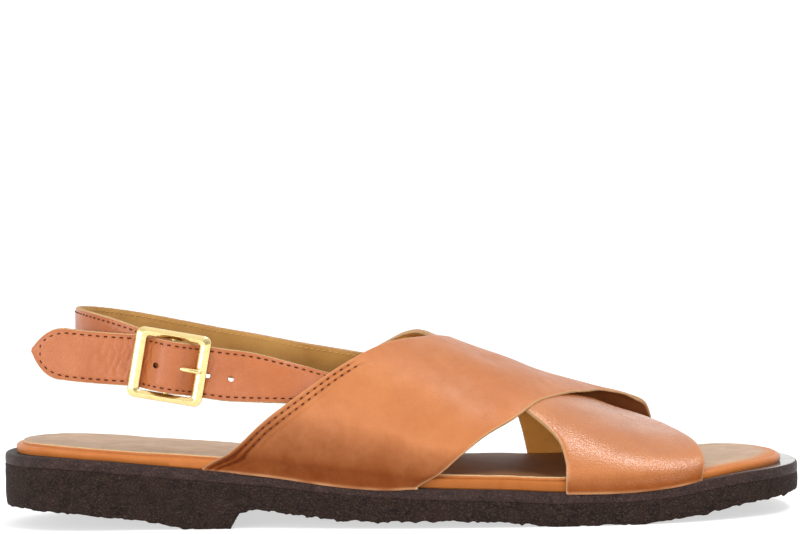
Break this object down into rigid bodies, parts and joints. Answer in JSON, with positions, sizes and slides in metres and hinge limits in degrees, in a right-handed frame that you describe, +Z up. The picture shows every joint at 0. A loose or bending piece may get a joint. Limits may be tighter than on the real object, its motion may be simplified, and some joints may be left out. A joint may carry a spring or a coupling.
{
  "type": "leather sandal",
  "caption": "Right-foot slingback sandal: wide leather straps crossed over the vamp, a buckled strap round the heel, an open toe, and a crepe rubber sole with a low heel that stands flat.",
  "frame": {"origin": "on the floor under the middle of the sole's bounding box", "axes": "+X from the heel to the toe, +Y to the inner (medial) side of a right foot, +Z up"},
  "size_m": [0.2674, 0.0904, 0.0726],
  "materials": {
    "crepe_rubber": "rough crepe, near-black brown",
    "midsole_rubber": "smoother satin, dark brown",
    "footbed_leather": "smooth orange-brown, soft gloss at the rolled edge",
    "sock_lining": "matt greyish tan, raw cut edge",
    "strap_leather": "smooth cognac tan, soft sheen, fine grain",
    "buckle_brass": "polished pale gold"
  },
  "bodies": {
    "root": {"outsole": "crepe_rubber", "midsole": "midsole_rubber", "footbed": "footbed_leather", "insole_sock": "sock_lining", "upper": "strap_leather", "heel_sling": "strap_leather", "buckle_strap": "strap_leather", "buckle_frame": "buckle_brass", "buckle_prong": "buckle_brass"}
  },
  "joints": []
}
